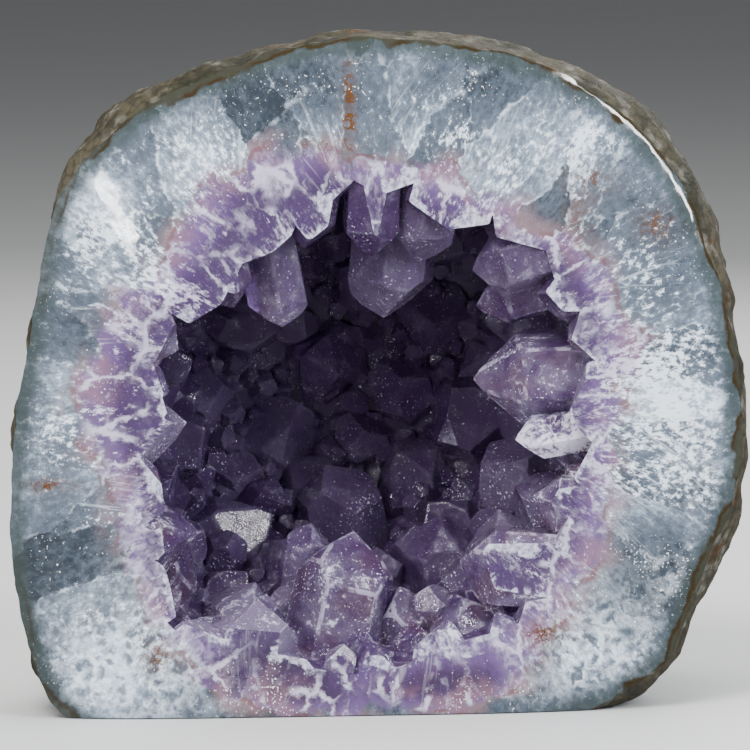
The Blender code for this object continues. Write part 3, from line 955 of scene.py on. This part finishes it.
def add_amethyst(s, at, colour):
    """A pink haze, then lilac, violet, dark and rosy crystals from the iron line inwards."""
    haze = s.times(s.ramp(at.inside, -5.0, 0.5), s.ramp(s.noise(at.bent, 9.0, 2.0), 0.42, 0.62))
    colour = s.mix(s.times(haze, 0.55), colour, IRON_PINK)
    mottle = s.plus(s.times(at.cloud, 0.7), s.times(s.noise(at.bent, 3.0, 4.0, 0.6), 0.8))
    mottle = s.less(s.plus(mottle, s.times(at.grit, 1.7)), s.times(at.clear, 0.25))
    lilac = s.mix(s.ramp(mottle, 0.60, 0.95), DUSKY, PALE_LILAC)
    colour = s.mix(s.ramp(at.inside, -0.8, 2.0), colour, lilac)
    core = s.ramp(at.outline, 0.04, 0.24)
    purple = s.ramp(s.plus(mottle, s.times(at.tone, 0.15)), 1.10, 0.78)
    purple = s.times(s.ramp(at.inside, 0.8, 4.5), purple)
    colour = s.mix(s.times(purple, s.ramp(core, 0.0, 1.0, 0.35, 0.85)), colour, VIOLET)
    dusk = s.ramp(s.plus(at.clear, s.times(at.grit, 1.2)), 0.1, 1.1)
    dusk = s.times(s.ramp(at.inside, 0.5, 5.0), dusk)
    colour = s.mix(s.times(dusk, 0.86), colour, DUSK)
    rosy = s.times(s.ramp(at.inside, -1.0, 2.0), s.ramp(at.inside, 8.0, 3.0))
    rosy = s.times(rosy, s.ramp(s.noise(at.bent, 7.0, 3.0), 0.46, 0.62))
    return s.mix(s.times(rosy, 0.55), colour, ROSE)


def crystal_frost(s, at, frost):
    """A little less frost on the cut crystals, and white lines where one meets the next."""
    frost = s.times(frost, s.ramp(at.inside, 0.0, 4.0, 1.0, 0.72))
    walls = s.times(s.ramp(at.outline, 0.07, 0.01), s.ramp(s.noise(at.bent, 5.0, 2.0), 0.40, 0.56))
    return s.most(frost, s.times(s.times(walls, s.ramp(at.inside, 0.0, 2.5)), 0.68))


def add_stains(s, at, colour):
    """The iron-red line round the amethyst, rusty veins, and dark mossy specks."""
    patches = s.ramp(s.noise(at.spot, 6.0, 2.0), 0.44, 0.58)
    line = s.ramp(s.off_zero(s.plus(at.inside, s.times(at.grit, 1.2))), 0.75, 0.1)
    colour = s.mix(s.times(s.times(line, patches), 0.60), colour, IRON_RED)
    thread = s.off_zero(s.less(s.noise(at.bent, 2.6, 3.0, 0.6), 0.5))
    rust = s.times(s.plus(s.ramp(thread, 0.060, 0.005), 0.34), s.field("rust"))
    colour = s.mix(s.math("MULTIPLY", rust, 1.0, True), colour, RUST)
    moss = s.ramp(s.noise(at.spot, 0.9, 4.0, 0.75), 0.58, 0.64)
    return s.mix(s.times(s.times(moss, s.field("dark")), 0.75), colour, MOSS)


def section_colour(s, spot):
    """The sawn stone from its rim to the crystals: grey and white quartz, iron line, then amethyst.

    Returns the colour, how far inside the iron line the place is, and how frosted it is.
    """
    at = SectionPatterns(s, spot)
    colour, frost = add_net(s, at, quartz_colour(s, at), quartz_frost(s, at))
    colour = add_amethyst(s, at, colour)
    frost = crystal_frost(s, at, calm_rim(s, at, frost))
    icy = s.mix(s.ramp(at.inside, 0.0, 3.0), SNOW, LILAC_FROST)
    colour = add_stains(s, at, s.mix(s.times(frost, 0.94), colour, icy))
    # White flecks: small fractures, partly painted glints
    glint_flecks = fracture_glints(s, spot, s.times(s.less(at.clear, 0.15), 0.035))
    colour = s.mix(s.times(glint_flecks, 0.85), colour, WHITE)
    return colour, at.inside, s.most(frost, glint_flecks)


def polish_gloss(s, spot):
    """Nearly mirror-smooth, with faint waves and duller patches left by the polishing."""
    dull = s.ramp(s.noise(spot, 4.0, 3.0), 0.35, 0.75, 0.03, 0.12)
    s.set(Roughness=dull, IOR=QUARTZ_IOR, Normal=s.bump(s.noise(spot, 6.0, 2.0), 0.00022, 0.5))


def polished_quartz():
    """The polished band, greenish towards the rim, with an olive and brown line where the rind begins."""
    s = Shader("polished_quartz")
    spot = s.spot()
    colour, _, _ = section_colour(s, spot)
    rim = s.plus(s.field("from_rim"), s.times(s.less(s.noise(spot, 4.0, 4.0, 0.6), 0.5), 3.2))
    colour = s.mix(s.times(s.ramp(rim, 4.2, 1.6), 0.75), colour, RIM_GREEN)
    band = s.less(rim, s.ramp(s.noise(spot, 11.0, 2.0), 0.35, 0.65, 0.2, 1.6))
    rinded = s.math("SUBTRACT", 1.0, s.field("bare"), True)
    olive = s.times(s.times(s.ramp(band, 0.3, -0.3), 0.85), rinded)
    colour = s.mix(olive, colour, RIM_OLIVE)
    brown = s.times(s.ramp(s.off_zero(band), 0.60, 0.10), s.ramp(s.noise(spot, 9.0, 2.0), 0.38, 0.48))
    colour = s.mix(s.times(s.times(brown, rinded), 0.9), colour, RIM_BROWN)
    s.set(Base_Color=colour)
    polish_gloss(s, spot)
    return s.material


def rind():
    """The weathered skin: olive, tan, grey and rust in patches, dark in its pits."""
    s = Shader("rind")
    spot = s.spot()
    colour = s.mix(s.ramp(s.noise(spot, 13.0, 3.0, 0.6), 0.38, 0.62), RIND_OLIVE, RIND_TAN)
    colour = s.mix(s.ramp(s.noise(spot, 4.0, 4.0, 0.6), 0.50, 0.70), colour, RIND_GREY)
    colour = s.mix(s.ramp(s.noise(spot, 6.0, 3.0, 0.6), 0.58, 0.70), colour, RIND_RUST)
    pits = s.cells(spot, 1.4)[0]
    colour = s.mix(s.times(s.ramp(pits, 0.35, 0.75), 0.5), colour, PIT_BLACK)
    height = s.plus(s.noise(spot, 1.0, 5.0, 0.65), s.times(pits, -0.4))
    s.set(Base_Color=colour, Roughness=0.72, Normal=s.bump(height, 0.0006, 0.8))
    return s.material


def sawn_base():
    """The saw cut that the stone stands on: matt quartz with faint parallel saw marks."""
    s = Shader("sawn_base")
    spot = s.spot()
    colour = s.mix(s.noise(spot, 9.0, 4.0, 0.6), GREY_BLUE, MILK)
    frost = s.ramp(s.noise(s.wander(spot, 4.0, 3.0), 1.6, 4.0, 0.7), 0.5, 0.7)
    colour = s.mix(s.times(frost, 0.7), colour, SNOW)
    marks = s.add("ShaderNodeTexWave", {"Vector": spot, "Scale": 0.35, "Distortion": 1.2}).outputs["Fac"]
    s.set(Base_Color=colour, Roughness=0.5, Normal=s.bump(marks, 0.00008, 0.5))
    return s.material


def seat_quartz():
    """The quartz at the crystals' roots, seen through them: lilac, with painted shade in dark violet deep
    inside.
    """
    s = Shader("seat_quartz")
    spot = s.spot()
    # Painted shade: darker the deeper the place lies in the hollow
    painted_shade = s.ramp(s.parts(spot)[1], 2.0, 28.0)
    colour = s.mix(s.ramp(s.noise(spot, 4.0, 4.0, 0.6), 0.35, 0.65), SEAT_PURPLE, SEAT_LILAC)
    colour = s.mix(s.times(painted_shade, 0.85), colour, SEAT_PAINTED_SHADE)
    s.set(Base_Color=colour, Roughness=0.5)
    return s.material


AMETHYST_TINT = (0.60, 0.40, 0.74)
AMETHYST_DENSITY = 85.0


def fill_with_amethyst(s):
    volume = s.add("ShaderNodeVolumeAbsorption")
    volume.inputs["Color"].default_value = (*AMETHYST_TINT, 1.0)
    volume.inputs["Density"].default_value = AMETHYST_DENSITY
    s.links.new(volume.outputs[0], s.nodes["Material Output"].inputs["Volume"])


def amethyst():
    """Purple see-through points: frosty veils, worn edges; painted edge highlights, glints and shade."""
    s = Shader("amethyst")
    spot = s.spot()
    _, depth, height = s.parts(spot)
    # Painted shade: darker, less red and less frosted the deeper a point lies in the hollow and the higher
    # up
    painted_shade = s.most(s.ramp(depth, 4.0, 32.0), s.ramp(height, 54.0, 74.0, 0.0, 0.85))
    bent = s.wander(spot, 5.0, 5.0)
    shade = s.plus(s.times(s.noise(bent, 5.0, 3.0, 0.6), 1.1), s.times(s.field("tone"), 0.45))
    colour = s.mix(s.ramp(shade, 0.50, 1.05), POINT_PURPLE, POINT_LILAC)
    red = s.times(s.ramp(s.noise(spot, 8.0, 2.0), 0.45, 0.62), s.ramp(painted_shade, 0.0, 0.6, 1.0, 0.3))
    colour = s.mix(s.times(red, 0.5), colour, POINT_RED)
    veil = s.ramp(s.noise(bent, 2.4, 5.0, 0.7), 0.50, 0.70)
    colour = s.mix(s.times(veil, 0.55), colour, VEIL)
    grit = s.less(s.noise(bent, 1.0, 6.0, 0.7), 0.5)
    frost = s.plus(s.times(grit, 1.5), s.times(s.field("pale"), 0.35))
    frost = s.ramp(s.plus(s.noise(spot, 5.0, 3.0, 0.6), frost), 0.56, 0.92)
    # Rounded edges turned pale: partly wear, partly a painted highlight along the edges
    wear_and_highlight = s.times(s.field("wear_and_highlight"), s.ramp(s.noise(spot, 2.2, 4.0, 0.6), 0.42, 0.60))
    frost = s.times(s.most(frost, s.times(wear_and_highlight, 0.50)), s.ramp(painted_shade, 0.0, 1.0, 0.85, 0.20))
    # Painted glints: a few whole facets, picked by their chance value, made white as if they caught a lamp
    painted_glint = s.ramp(s.noise(spot, 4.0, 3.0, 0.6), 0.40, 0.66)
    painted_glint = s.times(s.ramp(s.field("facet"), 0.94, 0.95), painted_glint)
    # White fracture flecks, partly painted glints, joined with the painted facet glints
    glint_flecks = s.most(fracture_glints(s, spot, 0.032), s.times(painted_glint, 0.60))
    cover = s.most(frost, s.times(glint_flecks, s.ramp(painted_shade, 0.0, 1.0, 1.0, 0.6)))
    # The painted shade is laid on here as a darker purple
    colour = s.mix(s.times(painted_shade, 0.80), colour, POINT_PAINTED_SHADE)
    colour = s.mix(cover, colour, POINT_FROST)
    fill_with_amethyst(s)
    s.set(
        Base_Color=colour, IOR=QUARTZ_IOR, Transmission_Weight=s.ramp(cover, 0.0, 1.0, 0.72, 0.10),
        Roughness=s.ramp(s.noise(spot, 2.0, 4.0, 0.65), 0.38, 0.70, 0.04, 0.30),
        Normal=s.bump(s.noise(spot, 1.4, 4.0, 0.6), 0.00018, 0.6),
    )
    return s.material


def amethyst_section():
    """The crystals that the saw went through: clearer and chipped towards the hollow."""
    s = Shader("amethyst_section")
    spot = s.spot()
    colour, inside, frost = section_colour(s, spot)
    grit = s.less(s.noise(spot, 1.0, 6.0, 0.72), 0.5)
    edge = s.plus(s.field("from_edge"), s.times(s.less(s.noise(spot, 6.0, 2.0), 0.43), 16.0))
    chipped = s.ramp(s.plus(edge, s.times(grit, -5.0)), 2.0, 0.3)
    pale = s.mix(s.ramp(grit, -0.12, 0.10), CHIPPED_DARK, CHIPPED_PALE)
    colour = s.mix(s.times(chipped, 0.75), colour, pale)
    grown = s.ramp(s.field("from_seat"), -0.5, -6.5)
    clear = s.ramp(s.most(frost, chipped), 0.0, 1.0, 0.55, 0.05)
    clear = s.times(s.times(s.ramp(inside, 1.0, 5.5), grown), clear)
    fill_with_amethyst(s)
    s.set(Base_Color=colour, Transmission_Weight=clear)
    polish_gloss(s, spot)
    return s.material


FLOOR_REACH = 5.0
FLOOR_DROP = 0.0002
FLOOR_GREY = (0.70, 0.70, 0.69)
FLOOR_PALE = (0.74, 0.74, 0.73)


def pale_floor():
    s = Shader("pale_floor")
    spot = s.spot()
    colour = s.mix(s.noise(spot, 60.0, 3.0), FLOOR_GREY, FLOOR_PALE)
    s.set(Base_Color=colour, Roughness=0.6)
    return s.material


SHARP_ANGLE = math.radians(50)


def add_stone():
    mesh = wall_mesh()
    face_measures(mesh)
    mesh.transform(TO_FRAME)
    for material in (polished_quartz(), rind(), sawn_base(), seat_quartz()):
        mesh.materials.append(material)
    mesh.shade_smooth()
    mesh.set_sharp_from_angle(angle=SHARP_ANGLE)
    stone = add_object("geode_stone", mesh)
    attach(stone, "root")
    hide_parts("geode_wall")


def add_crust():
    mesh = largest_piece(crust_mesh(), "amethyst_points")
    mesh.materials.clear()
    section_measures(mesh)
    face_measures(mesh)
    mesh.transform(TO_FRAME)
    for material in (amethyst(), amethyst_section()):
        mesh.materials.append(material)
    crust = add_object("amethyst_points", mesh)
    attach(crust, "root")
    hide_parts("amethyst_crust")


def add_floor():
    bm = bmesh.new()
    bmesh.ops.create_grid(bm, x_segments=1, y_segments=1, size=FLOOR_REACH)
    mesh = to_mesh(bm, "floor")
    mesh.materials.append(pale_floor())
    floor = add_object("floor", mesh)
    floor.location.z = -FLOOR_DROP
    floor.visible_glossy = False


CAMERA_AZIMUTH = -3.0
CAMERA_ELEVATION = 5.5
CAMERA_ROLL = -0.5
CAMERA_DISTANCE = 0.95
FRAME_WIDTH = 0.1199
AIM = (-0.0018, 0.0, 0.0549)


def add_camera():
    data = bpy.data.cameras.new("camera")
    camera = bpy.data.objects.new("camera", data)
    bpy.context.scene.collection.objects.link(camera)
    turn, rise = math.radians(CAMERA_AZIMUTH), math.radians(CAMERA_ELEVATION)
    back = Vector((math.sin(turn) * math.cos(rise), -math.cos(turn) * math.cos(rise), math.sin(rise)))
    aim = Vector((SHIFT.x + AIM[0], SHIFT.y, AIM[2]))
    camera.location = aim + back * CAMERA_DISTANCE
    camera.rotation_mode = "QUATERNION"
    facing = (aim - camera.location).to_track_quat("-Z", "Y")
    camera.rotation_quaternion = facing @ Quaternion((0, 0, 1), math.radians(CAMERA_ROLL))
    data.lens = data.sensor_width * CAMERA_DISTANCE / FRAME_WIDTH
    data.clip_start = 0.01
    data.clip_end = 20.0
    bpy.context.scene.camera = camera


PLAIN = (1.0, 1.0, 1.0)
COOL = (0.82, 0.91, 1.0)

# Area lights: the line that each lies along, its width, power and colour. The two thin ones make the streaks
# of light where the polish rolls over on the left and at the upper right.
LIGHTS = (
    ("key", (-0.50, -0.60, 0.85), (-0.10, -0.60, 0.85), 0.40, 12.0, PLAIN),
    ("left_strip", (-0.78, -0.40, 0.52), (-0.34, -0.92, 0.14), 0.045, 5.0, PLAIN),
    ("right_strip", (0.42, -0.62, 0.74), (0.80, -0.58, 0.27), 0.035, 4.0, PLAIN),
    ("fill", (0.50, -0.80, 0.36), (0.80, -0.40, 0.36), 0.50, 6.2, COOL),
    ("top", (-0.25, 0.05, 0.90), (0.35, 0.05, 0.90), 0.50, 5.6, PLAIN),
    ("back", (0.10, 0.65, 0.45), (0.50, 0.50, 0.45), 0.40, 3.0, PLAIN),
)
# The broad ones in front and above would show as flat grey shapes in the polish and in the crystals
HIDDEN_IN_GLOSS = ("key", "fill", "top")
LIT_POINT = Vector((0, 0, 0.05))
WORLD_COLOUR = (0.80, 0.82, 0.85)
WORLD_STRENGTH = 0.16


def add_lights():
    for name, start, end, width, power, colour in LIGHTS:
        start, end = Vector(start), Vector(end)
        data = bpy.data.lights.new(name, "AREA")
        data.shape = "RECTANGLE"
        data.size = (end - start).length
        data.size_y = width
        data.energy = power
        data.color = colour
        light = bpy.data.objects.new(name, data)
        along = (end - start).normalized()
        back = (start + end) / 2 - LIT_POINT
        back = (back - along * back.dot(along)).normalized()
        turn = Matrix((along, back.cross(along), back)).transposed()
        light.matrix_world = Matrix.Translation((start + end) / 2) @ turn.to_4x4()
        light.visible_glossy = name not in HIDDEN_IN_GLOSS
        bpy.context.scene.collection.objects.link(light)
    world = bpy.data.worlds.new("studio")
    world.use_nodes = True
    background = world.node_tree.nodes["Background"]
    background.inputs[0].default_value = (*WORLD_COLOUR, 1.0)
    background.inputs[1].default_value = WORLD_STRENGTH
    bpy.context.scene.world = world


add_camera()
add_stone()
add_crust()
add_floor()
add_lights()
for helper in list(HELPERS.objects):
    bpy.data.objects.remove(helper)
bpy.data.collections.remove(HELPERS)
